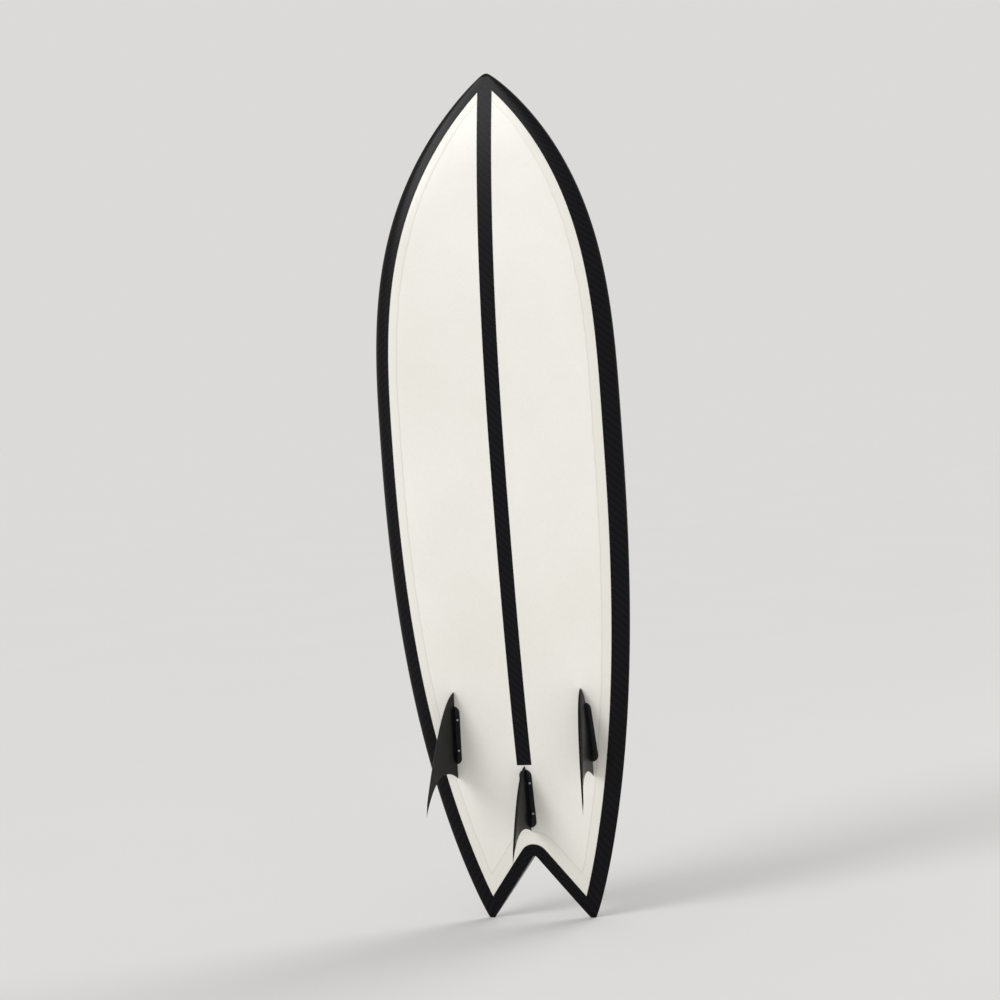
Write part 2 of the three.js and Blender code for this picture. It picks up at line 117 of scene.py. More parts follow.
# x is the middle of the base, rear is the trailing edge's height, toe and cant are in degrees.
FINS = {
    "left": dict(x=-148 * MM, rear=306 * MM, base=186 * MM, depth=150 * MM, toe=3.2, cant=6, side=-1),
    "right": dict(x=148 * MM, rear=306 * MM, base=186 * MM, depth=150 * MM, toe=3.2, cant=6, side=1),
    "center": dict(x=0, rear=190 * MM, base=140 * MM, depth=132 * MM, toe=0, cant=0, side=0),
}
FIN_RAKE, FIN_HOLLOW = 0.24, 0.13
LEADING_CURVE, HOLLOW_CURVE, TRAILING_CURVE = 1.7, 0.9, 4
FIN_THICKNESS, FIN_THINNING, FLAT_FACE = 8 * MM, 0.7, 0.4
FIN_EDGE, FIN_TIP_CHORD = 0.25 * MM, 12 * MM

CUP_X, CUP_Z = 44 * MM, 162 * MM
CUP_LIP_RADIUS, CUP_LIP, CUP_RADIUS = 14 * MM, 1.5 * MM, 12 * MM
CUP_BORE, CUP_DEPTH, CUP_FLOOR, CUP_EDGE = 9.5 * MM, 16 * MM, 2 * MM, 0.6 * MM
PIN_RADIUS, PIN_LENGTH, PIN_SUNK, PIN_EDGE = 1.6 * MM, 22.4 * MM, 5.5 * MM, 0.3 * MM
CUTTER_REACH = 5 * MM

PAD_REAR, PAD_FRONT, PAD_THICKNESS = 205 * MM, 492 * MM, 5 * MM
PAD_KICK, PAD_KICK_RUN, PAD_KICK_CURVE = 20 * MM, 46 * MM, 1.5
PAD_HALF_CENTRE, PAD_SPLIT = 24 * MM, 4 * MM
PAD_OUTER_REAR, PAD_OUTER_FRONT = 126 * MM, 150 * MM
PAD_CORNER, PAD_SMALL_CORNER, PAD_BEVEL, PAD_STEP = 16 * MM, 3 * MM, 3.2 * MM, 1.1 * MM
ARCH_HEIGHT, ARCH_HALF_WIDTH = 5 * MM, 14 * MM
GROOVE_DEPTH, GROOVE_HALF_WIDTH, GROOVE_MARGIN, GROOVE_FLATNESS = 1.6 * MM, 1.9 * MM, 5 * MM, 1.4
DIAMOND_PITCH, RIB_PITCH = 19 * MM, 9 * MM
RIBS_ONSET = 1 / 8  # the share of the kick over which ribs take the place of diamonds

LAP_WIDTH = 54 * MM
WAX_REAR, WAX_FRONT, WAX_HALF_WIDTH, WAX_FADE = 500 * MM, 1400 * MM, 190 * MM, 90 * MM

# ---------------------------------------------------------------- the board's shape


def outline(t, fullness):
    return (1 - np.clip(t, 0, 1) ** fullness) ** OUTLINE_CLOSE


def half_width(z):
    to_nose = np.clip(LENGTH - z, 0, None)
    rounded = LENGTH - np.sqrt(to_nose**2 + 2 * to_nose * NOSE_TIP_ROUND)
    nose = HALF_WIDTH * outline((rounded - WIDE_POINT_Z) / (LENGTH - WIDE_POINT_Z), NOSE_FULLNESS)
    tail = outline((WIDE_POINT_Z - z) / WIDE_POINT_Z, TAIL_FULLNESS)
    return np.where(z > WIDE_POINT_Z, nose, TAIL_HALF_WIDTH + (HALF_WIDTH - TAIL_HALF_WIDTH) * tail)


def thickness(z):
    to_nose = np.clip((z - THICK_POINT_Z) / (LENGTH - THICK_POINT_Z), 0, 1)
    to_tail = np.clip((THICK_POINT_Z - z) / THICK_POINT_Z, 0, 1)
    nose = (THICKNESS - NOSE_THICKNESS) * (1 - to_nose**NOSE_FOIL_RUN) ** NOSE_FOIL_CLOSE
    tail = (THICKNESS - TAIL_THICKNESS) * (1 - to_tail**TAIL_FOIL)
    return np.where(z > THICK_POINT_Z, NOSE_THICKNESS + nose, TAIL_THICKNESS + tail)


def blunt(z):
    """The share of the thickness that is left where the nose is rounded off."""
    to_nose = np.clip((LENGTH - z) / NOSE_BLUNT, 0, 1)
    return np.sqrt(1 - (1 - to_nose) ** 2)


def rocker(z):
    to_nose = np.clip((z - FLAT_POINT_Z) / (LENGTH - FLAT_POINT_Z), 0, 1)
    to_tail = np.clip((FLAT_POINT_Z - z) / FLAT_POINT_Z, 0, 1)
    return Y_SHIFT + NOSE_ROCKER * to_nose**NOSE_ROCKER_POWER + TAIL_ROCKER * to_tail**TAIL_ROCKER_POWER


def apex_share(z):
    return APEX_SHARE_TAIL + (APEX_SHARE_NOSE - APEX_SHARE_TAIL) * z / LENGTH


def apex_y(z):
    """Y of the rail's widest line."""
    return rocker(z) + apex_share(z) * thickness(z)


def bottom_height(s, z):
    tuck = apex_share(z) * thickness(z) * (1 - np.sqrt(1 - s**TUCK_POWER))
    along = np.clip(np.sin(math.pi * (z - CONCAVE_FROM) / CONCAVE_LENGTH), 0, 1)
    sideways = np.clip(1 - (s / CONCAVE_REACH) ** 2, 0, 1) ** 2
    return tuck + CONCAVE * along * sideways


def deck_height(s, z):
    share = apex_share(z)
    return thickness(z) * (share + (1 - share) * np.clip(1 - s**DOME_POWER, 0, 1) ** DOME_CLOSE)


def fillet(distance, radius):
    """How far a rounded edge draws in, at a distance from that edge."""
    reach = np.clip(radius - distance, 0, radius)
    return radius - np.sqrt(radius**2 - reach**2)


NOTCH_SLOPE = math.atan2(NOTCH_DEPTH, NOTCH_HALF_WIDTH)
INTO_X, INTO_Z = math.sin(NOTCH_SLOPE), math.cos(NOTCH_SLOPE)
ARC_Z = NOTCH_DEPTH - NOTCH_RADIUS / INTO_Z
NOTCH_TOP = ARC_Z + NOTCH_RADIUS


def notch_distance(x, z):
    """How far a point is into the board from the notch's outline."""
    x = np.abs(x)
    straight = (x - NOTCH_HALF_WIDTH) * INTO_X + z * INTO_Z
    on_arc = (z - ARC_Z) * INTO_X > x * INTO_Z
    return np.where(on_arc, np.hypot(x, z - ARC_Z) - NOTCH_RADIUS, straight)


def notch_edge(z, inset):
    """The notch's half width at z with its outline moved into the board, or 0 above it."""
    radius = NOTCH_RADIUS + inset
    rise = z - ARC_Z
    arc = np.sqrt(np.clip(radius**2 - rise**2, 0, None))
    straight = NOTCH_HALF_WIDTH + (inset - z * INTO_Z) / INTO_X
    return np.where(rise > radius * INTO_Z, arc, np.clip(straight, 0, None))


def side_growth(z, depth):
    """How far the outline at a depth lies outside the board's, which is rounded at the tail tips."""
    return -depth - fillet(z, TIP_EDGE)


def board_y(x, z, deck, depth=0.0):
    """Y of the surface at (x, z), at a depth below the outside."""
    x, z = np.broadcast_arrays(np.asarray(x, float), np.asarray(z, float))
    out = side_growth(z, depth)
    s = np.clip(np.abs(x) / np.maximum(half_width(z) + out, TINY), 0, 1)
    full = thickness(z)
    apex = apex_share(z) * full
    room = full - apex if deck else apex
    height = deck_height(s, z) if deck else bottom_height(s, z)
    rise = (height - apex) * (1 + out / room) * blunt(z)
    edge = fillet(notch_distance(x, z) + out, NOTCH_EDGE - depth)
    return rocker(z) + apex + rise + (-edge if deck else edge)


def last_where(test, low, high):
    """The end of the stretch from low on which a test holds, found by halving."""
    halvings = 40
    for _ in range(halvings):
        middle = (low + high) / 2
        low, high = (middle, high) if test(middle) else (low, middle)
    return low


# ---------------------------------------------------------------- mesh tools

CUP_SIDES, ROD_SIDES, SCREW_SIDES = 72, 32, 24


def make_object(name, verts, faces):
    """A closed mesh with its faces pointing out."""
    mesh = bpy.data.meshes.new(name)
    mesh.from_pydata([tuple(v) for v in verts], [], faces)
    bm = bmesh.new()
    bm.from_mesh(mesh)
    bmesh.ops.recalc_face_normals(bm, faces=bm.faces)
    if bm.calc_volume(signed=True) < 0:
        bmesh.ops.reverse_faces(bm, faces=bm.faces)
    bm.to_mesh(mesh)
    bm.free()
    obj = bpy.data.objects.new(name, mesh)
    bpy.context.scene.collection.objects.link(obj)
    return obj


class Shell:
    """A closed piece between two layers of points. Each sheet is a grid, given at both depths."""

    def __init__(self, *depths):
        self.depths = depths
        self.layers = [[] for _ in depths]
        self.faces = []

    def sheet(self, points, sides=(1, -1)):
        """Adds the grid of X, Y and Z that points(depth) gives, on the sides of X given."""
        for side in sides:
            start = len(self.layers[0])
            for layer, depth in zip(self.layers, self.depths):
                x, y, z = np.broadcast_arrays(*points(depth))
                layer.extend(np.stack([side * x, y, z], -1).reshape(-1, 3))
            rows, columns = x.shape
            corner = start + np.arange(rows - 1)[:, None] * columns + np.arange(columns - 1)
            quads = np.stack([corner, corner + 1, corner + columns + 1, corner + columns], -1)
            self.faces.extend(quads.reshape(-1, 4)[:, ::side])
        return self

    def object(self, name):
        """Merges the points that meet in the first layer, and closes the piece along its borders."""
        merge_digits = 7
        points = np.round(self.layers[0], merge_digits) + 0.0
        _, first, index = np.unique(points, axis=0, return_index=True, return_inverse=True)
        rings = [list(dict.fromkeys(face)) for face in index.ravel()[np.array(self.faces)].tolist()]
        rings = [ring for ring in rings if len(ring) > 2]
        found = {}
        for ring in rings:
            for edge in zip(ring, ring[1:] + ring[:1]):
                found.setdefault(frozenset(edge), []).append(edge)
        border = [edges[0] for edges in found.values() if len(edges) == 1]
        count = len(first)
        under = [[v + count for v in reversed(ring)] for ring in rings]
        closing = [[b, a, a + count, b + count] for a, b in border]
        verts = np.concatenate([np.array(layer)[first] for layer in self.layers])
        return make_object(name, verts, rings + under + closing)


def loft(name, rings):
    """A closed piece through equal rings of points, with a flat face at each end."""
    rings = np.asarray(rings, float)
    rows, columns = rings.shape[:2]
    around = np.roll(np.arange(columns), -1)
    faces = [list(range(columns)), list(range((rows - 1) * columns, rows * columns))]
    for i in range(rows - 1):
        low = i * columns
        faces += [[low + a, low + b, low + b + columns, low + a + columns] for a, b in enumerate(around)]
    return make_object(name, rings.reshape(-1, 3), faces)


def circle(radius, y, count):
    """A ring round the local Y axis."""
    turn = np.arange(count) / count * 2 * math.pi
    return np.stack([radius * np.cos(turn), np.full(count, y), radius * np.sin(turn)], -1)


def hexagon(radius, y, count):
    """A ring round the local Y axis, with its points on a hexagon."""
    turn = np.arange(count) / count * 2 * math.pi
    sector = math.pi / 3
    reach = radius * math.cos(sector / 2) / np.cos(turn % sector - sector / 2)
    return circle(1, y, count) * np.stack([reach, np.ones(count), reach], -1)


def lathe(name, profile, count):
    return loft(name, [circle(radius, y, count) for radius, y in profile])


def stadium(length, width, y, count=20):
    """A ring in the shape of a slot along Z."""
    radius = width / 2
    turn = np.linspace(0, math.pi, count)
    end = length / 2 - radius + radius * np.sin(turn)
    front = np.stack([radius * np.cos(turn), np.full(count, y), end], -1)
    return np.concatenate([front, front * [-1, 1, -1]])


def block(size_x, size_z, y0, y1, z, edge):
    """A bar from y0 to y1 with rounded edges."""
    half_x, half_z = size_x / 2, size_z / 2
    corners = [(-half_x, z - half_z), (half_x, z - half_z), (half_x, z + half_z), (-half_x, z + half_z)]
    obj = loft("block", [[(a, y, b) for a, b in corners] for y in (y0, y1)])
    modifier = obj.modifiers.new("bevel", "BEVEL")
    modifier.width = edge
    modifier.segments = 4
    return apply_modifiers(obj)


def apply_modifiers(obj):
    graph = bpy.context.evaluated_depsgraph_get()
    mesh = bpy.data.meshes.new_from_object(obj.evaluated_get(graph))
    obj.modifiers.clear()
    old, obj.data = obj.data, mesh
    bpy.data.meshes.remove(old)
    mesh.name = obj.name
    return obj


def combine(obj, others, operation="DIFFERENCE"):
    """Cuts other solids away from an object, or adds them to it."""
    for other in others:
        modifier = obj.modifiers.new("combine", "BOOLEAN")
        modifier.operation = operation
        modifier.solver = "EXACT"
        modifier.object = other
    apply_modifiers(obj)
    for other in others:
        bpy.data.objects.remove(other)
    return obj


def place(obj, matrix):
    obj.data.transform(matrix)
    obj.data.update()
    return obj


def shade(obj, sharp_degrees=35):
    """Smooth shading, with hard edges where faces meet at more than the angle."""
    bm = bmesh.new()
    bm.from_mesh(obj.data)
    limit = math.radians(sharp_degrees)
    for face in bm.faces:
        face.smooth = True
    for edge in bm.edges:
        edge.smooth = len(edge.link_faces) != 2 or edge.calc_face_angle(0) < limit
    bm.to_mesh(obj.data)
    bm.free()
    return obj


def surface_frame(x, z, deck, toe=0.0):
    """Its Y axis points into the board, and its Z axis runs along the surface."""
    step = 8 * MM
    along_z = float(board_y(x, z + step, deck) - board_y(x, z - step, deck)) / (2 * step)
    along_x = float(board_y(x + step, z, deck) - board_y(x - step, z, deck)) / (2 * step)
    turn = Matrix.Rotation(-math.atan(along_z), 4, "X") @ Matrix.Rotation(math.atan(along_x), 4, "Z")
    turn = turn @ Matrix.Rotation(toe, 4, "Y")
    if deck:
        turn = turn @ Matrix.Rotation(math.pi, 4, "Z")
    return Matrix.Translation((x, float(board_y(x, z, deck)), z)) @ turn


def vertices(obj):
    co = np.zeros(len(obj.data.vertices) * 3)
    obj.data.vertices.foreach_get("co", co)
    return co.reshape(-1, 3).T


def add_values(obj, name, values):
    """Stores a number at each vertex, for the material."""
    obj.data.attributes.new(name, "FLOAT", "POINT").data.foreach_set("value", values.astype(np.float32))
    return obj


def add_weave_map(obj, across_of):
    """A UV map in metres: U is across_of(x, y, z), and V runs along the board."""
    x, y, z = vertices(obj)
    index = np.zeros(len(obj.data.loops), int)
    obj.data.loops.foreach_get("vertex_index", index)
    uv = np.stack([across_of(x, y, z), z], -1)[index]
    obj.data.uv_layers.new(name="weave").data.foreach_set("uv", uv.ravel())
    return obj


def finished(obj, material, slot, body, *nodes):
    """Gives a piece its look and its body, instead of the CAD nodes named."""
    obj.data.materials.clear()
    obj.data.materials.append(material)
    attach(obj, body)
    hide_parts(*nodes)
    return obj


# ---------------------------------------------------------------- materials


def rgb(code):
    """A linear colour from a #rrggbb one."""
    parts = [int(code[i : i + 2], 16) / 255 for i in (1, 3, 5)]
    return tuple(c / 12.92 if c <= 0.04045 else ((c + 0.055) / 1.055) ** 2.4 for c in parts)


class Look:
    """A node material, with short ways to add and wire its nodes."""

    def __init__(self, name, shader=()):
        self.material = bpy.data.materials.new(name)
        self.material.use_nodes = True
        self.tree = self.material.node_tree
        self.shader = self.tree.nodes["Principled BSDF"]
        for socket, value in dict(shader).items():
            self.set(socket, value)

    def set(self, socket, value):
        self.feed(self.shader.inputs[socket], value)

    def feed(self, target, value):
        if isinstance(value, bpy.types.NodeSocket):
            self.tree.links.new(value, target)
        elif isinstance(value, tuple) and target.type == "RGBA":
            target.default_value = (*value, 1)
        else:
            target.default_value = value

    def node(self, kind, inputs=(), **settings):
        node = self.tree.nodes.new(kind)
        for key, value in settings.items():
            setattr(node, key, value)
        for key, value in dict(inputs).items():
            self.feed(node.inputs[key], value)
        return node

    def spot(self, stretch=(1, 1, 1)):
        coords = self.node("ShaderNodeTexCoord").outputs["Object"]
        return self.node("ShaderNodeMapping", {"Vector": coords, "Scale": stretch}).outputs["Vector"]

    def noise(self, scale, detail=2.0, stretch=(1, 1, 1)):
        inputs = {"Vector": self.spot(stretch), "Scale": scale, "Detail": detail}
        return self.node("ShaderNodeTexNoise", inputs).outputs["Fac"]

    def waves(self, scale, direction):
        inputs = {"Vector": self.spot(), "Scale": scale}
        return self.node("ShaderNodeTexWave", inputs, bands_direction=direction).outputs["Fac"]

    def cells(self, scale, output="Distance"):
        inputs = {"Vector": self.spot(), "Scale": scale}
        return self.node("ShaderNodeTexVoronoi", inputs).outputs[output]

    def math(self, operation, a, b=0.0, clamp=False):
        return self.node("ShaderNodeMath", {0: a, 1: b}, operation=operation, use_clamp=clamp).outputs[0]

    def between(self, value, low, high, start=0.0, end=1.0):
        """value mapped from start..end to low..high, and held there."""
        inputs = {"Value": value, "From Min": start, "From Max": end, "To Min": low, "To Max": high}
        return self.node("ShaderNodeMapRange", inputs).outputs["Result"]

    def ramp(self, value, *stops):
        node = self.node("ShaderNodeValToRGB", {"Fac": value})
        elements = node.color_ramp.elements
        while len(elements) < len(stops):
            elements.new(0.5)
        for element, (position, colour) in zip(elements, stops):
            element.position = position
            element.color = (*colour, 1)
        return node.outputs["Color"]

    def mix(self, share, a, b, blend="MIX"):
        node = self.node("ShaderNodeMix", data_type="RGBA", blend_type=blend)
        for key, value in ((0, share), (6, a), (7, b)):
            self.feed(node.inputs[key], value)
        return node.outputs[2]

    def bump(self, height, distance, strength=1.0, after=None):
        inputs = {"Height": height, "Distance": distance, "Strength": strength}
        if after is not None:
            inputs["Normal"] = after
        return self.node("ShaderNodeBump", inputs).outputs["Normal"]

    def value(self, name):
        return self.node("ShaderNodeAttribute", attribute_name=name).outputs["Fac"]


def glass_look(name, waxed):
    """Clear resin over woven glass and white foam, with the lap line where the cloths overlap."""
    look = Look(name, {"IOR": 1.5, "Specular IOR Level": 0.35})
    clean = look.ramp(look.noise(2.4, 4), (0.3, rgb("#ece9e2")), (0.7, rgb("#f5f3ee")))
    threads = look.math("MULTIPLY", look.noise(800, 2, (1, 1, 0.2)), look.noise(800, 2, (0.2, 1, 1)))
    fibres = look.ramp(threads, (0.17, (0.965, 0.965, 0.96)), (0.33, (1, 1, 1)))
    colour = look.mix(1.0, clean, fibres, "MULTIPLY")

    wander = look.between(look.noise(30, 3), -3 * MM, 3 * MM)
    rim = look.math("ADD", look.value("rim"), wander)
    doubled = look.between(rim, 1.0, 0.0, LAP_WIDTH - 1 * MM, LAP_WIDTH + 1 * MM)
    off_line = look.math("ABSOLUTE", look.math("SUBTRACT", rim, LAP_WIDTH))
    line = look.between(off_line, 1.0, 0.0, 0.6 * MM, 2.2 * MM)
    colour = look.mix(look.math("MULTIPLY", doubled, 0.5), colour, rgb("#e6e3da"))
    colour = look.mix(look.math("MULTIPLY", line, 0.35), colour, rgb("#c9c5b8"))

    specks = look.math("LESS_THAN", look.cells(55), 0.035)
    colour = look.mix(look.math("MULTIPLY", specks, 0.3), colour, rgb("#b9b3a2"))
    smudge = look.noise(7, 5)
    rough = look.between(smudge, 0.1, 0.24, 0.35, 0.7)

    normal = look.bump(look.math("MULTIPLY", look.waves(75, "X"), look.waves(75, "Z")), 0.02 * MM, 0.5)
    normal = look.bump(doubled, 0.2 * MM, 0.6, normal)
    normal = look.bump(look.noise(16, 2), 0.5 * MM, 0.25, normal)
    dents = look.math("MULTIPLY", look.between(look.cells(16), 1.0, 0.0, 0.0, 0.3), look.cells(16, "Color"))
    normal = look.bump(dents, -0.3 * MM, 0.6, normal)
    if waxed:
        patches = look.between(look.noise(12, 5), 0.15, 1.3, 0.3, 0.7)
        share = look.math("MULTIPLY", look.value("wax"), patches, True)
        lumps = look.math("SUBTRACT", 1.0, look.cells(150), True)
        colour = look.mix(look.math("MULTIPLY", share, 0.55), colour, rgb("#dfdbcd"))
        rough = look.math("ADD", rough, look.math("MULTIPLY", share, 0.4))
        normal = look.bump(look.math("MULTIPLY", lumps, share), 0.8 * MM, 0.8, normal)
    look.set("Base Color", colour)
    look.set("Roughness", rough)
    look.set("Normal", normal)
    return look.material


def carbon_look(name, tow, roughness):
    """Black twill of a tow's width under resin, laid out by the weave map."""
    look = Look(name, {"IOR": 1.5, "Specular IOR Level": 0.12})
    uv = look.node("ShaderNodeUVMap", uv_map="weave").outputs["UV"]
    split = look.node("ShaderNodeSeparateXYZ", {0: uv})
    u, v = (look.math("DIVIDE", split.outputs[axis], tow) for axis in ("X", "Y"))
    steps = look.math("ADD", look.math("FLOOR", u), look.math("FLOOR", v))
    warp = look.math("LESS_THAN", look.math("FRACT", look.math("MULTIPLY", steps, 0.25)), 0.5)
    crowns = []
    for along in (u, v):
        centred = look.math("SUBTRACT", look.math("FRACT", along), 0.5)
        square = look.math("MULTIPLY", look.math("MULTIPLY", centred, centred), 4.0)
        crowns.append(look.math("SUBTRACT", 1.0, square))
    crown = look.node("ShaderNodeMix", {0: warp, 2: crowns[1], 3: crowns[0]}).outputs[0]
    # Painted sheen: the warp tows and the crowns of the tows get a lighter base colour, standing in for the
    # weave's changing reflection and highlights, and the noise adds random tone.
    painted_sheen_and_tone = look.math("MULTIPLY", look.between(warp, 0.45, 1.0), look.between(crown, 0.5, 1.0))
    painted_sheen_and_tone = look.math("MULTIPLY", painted_sheen_and_tone, look.between(look.noise(8, 3), 0.75, 1.25))
    look.set("Base Color", look.ramp(painted_sheen_and_tone, (0.2, rgb("#020203")), (1.0, rgb("#111216"))))
    look.set("Roughness", look.between(crown, roughness + 0.12, roughness))
    resin = look.bump(look.noise(60, 2), 0.1 * MM, 0.3)
    look.set("Normal", look.bump(crown, 0.05 * MM, 0.4, resin))
    return look.material


def nylon_look(name):
    look = Look(name, {"IOR": 1.5, "Specular IOR Level": 0.35})
    look.set("Base Color", look.ramp(look.noise(60, 4), (0.3, rgb("#0f0f10")), (0.7, rgb("#1a1a1c"))))
    look.set("Roughness", look.between(look.noise(240, 2), 0.4, 0.58))
    look.set("Normal", look.bump(look.noise(1200, 3), 0.12 * MM, 0.6))
    return look.material


def steel_look(name):
    look = Look(name, {"Metallic": 1.0})
    brushed = look.noise(900, 3, (1, 1, 0.08))
    look.set("Base Color", look.ramp(brushed, (0.3, rgb("#a9abae")), (0.7, rgb("#cfd1d3"))))
    look.set("Roughness", look.between(brushed, 0.2, 0.38))
    look.set("Normal", look.bump(brushed, 0.01 * MM, 0.3))
    return look.material


def eva_look(name):
    """Closed-cell foam, rubbed paler on its tops and dark in its grooves."""
    look = Look(name, {"Specular IOR Level": 0.25})
    worn = look.value("worn")
    colour = look.ramp(look.noise(20, 5), (0.3, rgb("#17181a")), (0.7, rgb("#232427")))
    rubbed = look.math("MULTIPLY", worn, look.between(look.noise(9, 4), 0.15, 0.8, 0.3, 0.7))
    colour = look.mix(rubbed, colour, rgb("#3c3d40"))
    pores = look.between(look.cells(650), 1.0, 0.0, 0.0, 0.25)
    colour = look.mix(look.math("MULTIPLY", pores, 0.3), colour, rgb("#0c0c0d"))
    look.set("Base Color", colour)
    look.set("Roughness", look.between(look.noise(80, 2), 0.75, 0.95))
    cells = look.bump(look.cells(1000), 0.25 * MM, 0.8)
    look.set("Normal", look.bump(look.noise(150, 3), 0.4 * MM, 0.6, cells))
    return look.material


def foam_look(name):
    look = Look(name, {"Specular IOR Level": 0.2})
    look.set("Base Color", look.ramp(look.noise(30, 4), (0.3, rgb("#eae2cd")), (0.7, rgb("#f4eddc"))))
    look.set("Roughness", look.between(look.noise(90, 2), 0.88, 1.0))
    look.set("Normal", look.bump(look.cells(1500), 0.15 * MM, 0.5))
    return look.material


def wood_look(name):
    look = Look(name, {"Specular IOR Level": 0.35})
    grain = look.noise(120, 5, (1, 1, 0.03))
    look.set("Base Color", look.ramp(grain, (0.35, rgb("#a87f4d")), (0.65, rgb("#d3b181"))))
    look.set("Roughness", look.between(grain, 0.5, 0.65))
    look.set("Normal", look.bump(grain, 0.1 * MM, 0.4))
    return look.material


BOTTOM_GLASS = glass_look("bottom_glass_look", waxed=False)
DECK_GLASS = glass_look("deck_glass_look", waxed=True)
TAPE_CARBON = carbon_look("tape_carbon_look", 4 * MM, 0.24)
FIN_CARBON = carbon_look("fin_carbon_look", 2.5 * MM, 0.2)
NYLON = nylon_look("nylon_look")
STEEL = steel_look("steel_look")
EVA = eva_look("eva_look")

# ---------------------------------------------------------------- glass skins


def board_rows():
    """Z of the rows of the skins, close together where the outline turns."""
    tip_rows, notch_rows, arc_rows, nose_rows = 5, 30, 9, 16
    tip = TIP_EDGE * (1 - np.cos(np.linspace(0, math.pi / 2, tip_rows)))
    arc_start = ARC_Z + NOTCH_RADIUS * INTO_Z
    straight = np.linspace(TIP_EDGE, arc_start, notch_rows)[1:]
    arc = ARC_Z + NOTCH_RADIUS * np.sin(np.linspace(math.asin(INTO_Z), math.pi / 2, arc_rows))[1:]
    rows = [*tip, *straight, *arc]
    nose_length = 60 * MM
    step, widest, growth = 0.4 * MM, 12 * MM, 1.3
    while rows[-1] + step < LENGTH - nose_length:
        rows.append(rows[-1] + step)
        step = min(step * growth, widest)
    nose = LENGTH - (LENGTH - rows[-1]) * (1 - np.linspace(0, 1, nose_rows)[1:]) ** 2
    return np.array([*rows, *nose])


ROWS = board_rows()
NOTCH_ROWS = int(np.sum(ROWS <= NOTCH_TOP + TINY))
EDGE_COLUMNS = 6
MAIN_COLUMNS = 40
WALL = np.linspace(0, 1, 4)


def skin_columns(z, depth):
    """X of the columns of a half skin at each row, from the notch or the middle to the rail."""
    out = side_growth(z, depth)
    levels = (NOTCH_EDGE - depth) * (1 - np.cos(np.linspace(0, math.pi / 2, EDGE_COLUMNS)))
    edge = notch_edge(z, levels - out)
    rail = np.maximum(half_width(z) + out, 0)
    share = 1 - (1 - np.linspace(0, 1, MAIN_COLUMNS + 1)[1:]) ** 2
    return np.minimum(np.concatenate([edge, edge[:, -1:] + (rail - edge[:, -1:]) * share], 1), rail)


def skin(name, deck):
    """Half of the glass, from the notch's wall or the tip's end round to the rail's widest line."""

    def outside(depth):
        z = (ROWS + depth * np.interp(ROWS, [0, NOTCH_TOP, LENGTH], [1, 1, -1]))[:, None]
        x = skin_columns(z, depth)
        y = board_y(x, z, deck, depth)
        split = apex_y(z) + (GAP / 2 if deck else -GAP / 2)
        y = np.maximum(y, split) if deck else np.minimum(y, split)
        return np.broadcast_arrays(x, y, z, split)

    def notch_wall(depth):
        x, y, z, split = (part[:NOTCH_ROWS, :1] for part in outside(depth))
        return x, y + (split - y) * WALL, z

    def tip_end(depth):
        x, y, z, split = (part[:1] for part in outside(depth))
        return x, y + (split - y) * WALL[:, None], z

    shell = Shell(0.0, SKIN)
    shell.sheet(lambda depth: outside(depth)[:3]).sheet(notch_wall).sheet(tip_end)
    return shell.object(name)


def fin_frame(plan):
    toe = math.radians(-plan["side"] * plan["toe"])
    return surface_frame(plan["x"], plan["rear"] + plan["base"] / 2, False, toe)


CUP_FRAME = surface_frame(CUP_X, CUP_Z, True)


def box_cutters():
    """Solids for the holes that take the flanges of the fin boxes."""
    length, width = (size + 2 * (BOX_LIP_WIDTH + GAP) for size in (BOX_LENGTH, BOX_WIDTH))
    rings = [stadium(length, width, y) for y in (-CUTTER_REACH, CUTTER_REACH)]
    return [place(loft("cutter", rings), fin_frame(plan)) for plan in FINS.values()]


def cup_cutter():
    radius = CUP_LIP_RADIUS + GAP
    profile = [(radius, y) for y in (-CUTTER_REACH, CUTTER_REACH)]
    return place(lathe("cutter", profile, CUP_SIDES), CUP_FRAME)


def mark_skin(obj):
    """Stores how far each point is from the outline, and how much wax is rubbed on it."""
    x, _, z = vertices(obj)
    rim = np.minimum(half_width(z) - np.abs(x), notch_distance(x, z))
    lengthwise = np.minimum(z - WAX_REAR, WAX_FRONT - z)
    sideways = WAX_HALF_WIDTH - np.abs(x)
    add_values(obj, "rim", rim)
    return add_values(obj, "wax", np.clip(np.minimum(lengthwise, sideways) / WAX_FADE, 0, 1))


def skins():
    bottom = combine(skin("bottom_glass_skin", False), box_cutters())
    finished(mark_skin(shade(bottom)), BOTTOM_GLASS, "white_glass", "board", "bottom_glass")
    deck = combine(skin("deck_glass_skin", True), [cup_cutter()])
    finished(mark_skin(shade(deck)), DECK_GLASS, "white_glass", "board", "deck_glass")


# ---------------------------------------------------------------- carbon tape

TAPE_DEPTHS = (-TAPE_PROUD, TAPE - TAPE_PROUD)
TIP_ROWS = ROWS[ROWS > GAP]
TAPE_SHARP = 50
RAIL_COLUMNS, STRIP_COLUMNS, NOTCH_COLUMNS = 18, 9, 7
LINE_POINTS, ARC_POINTS = 26, 12


def past_nose(z, depth):
    """Z moved towards the nose, where a layer at a depth above the outside reaches past it."""
    return z - depth * z / LENGTH


def clear_of_rails(z):
    """The half width between the tapes of the two rails."""
    return half_width(z) - RAIL_TAPE_WIDTH


def reaches_rail_tape(half):
    """Z where a strip of a half width comes to lie between the rails' tapes near the nose."""
    return last_where(lambda z: clear_of_rails(z) > half, WIDE_POINT_Z, LENGTH)


STRIP_CORNER = reaches_rail_tape(STRINGER_TAPE_WIDTH / 2 + TAPE_GAP)


def leaves_rail_tape(inset, gap):
    """Z where the notch's outline, moved into the board, comes out from under the rail's tape."""
    return last_where(lambda z: notch_edge(z, inset) > clear_of_rails(z) - gap, 0, NOTCH_TOP / 2)


def around_rail(x, y, z):
    """How far a point is round the rail from its widest line, for the weave."""
    return np.hypot(np.abs(x) - half_width(z), y - apex_y(z)) * np.sign(y - apex_y(z))


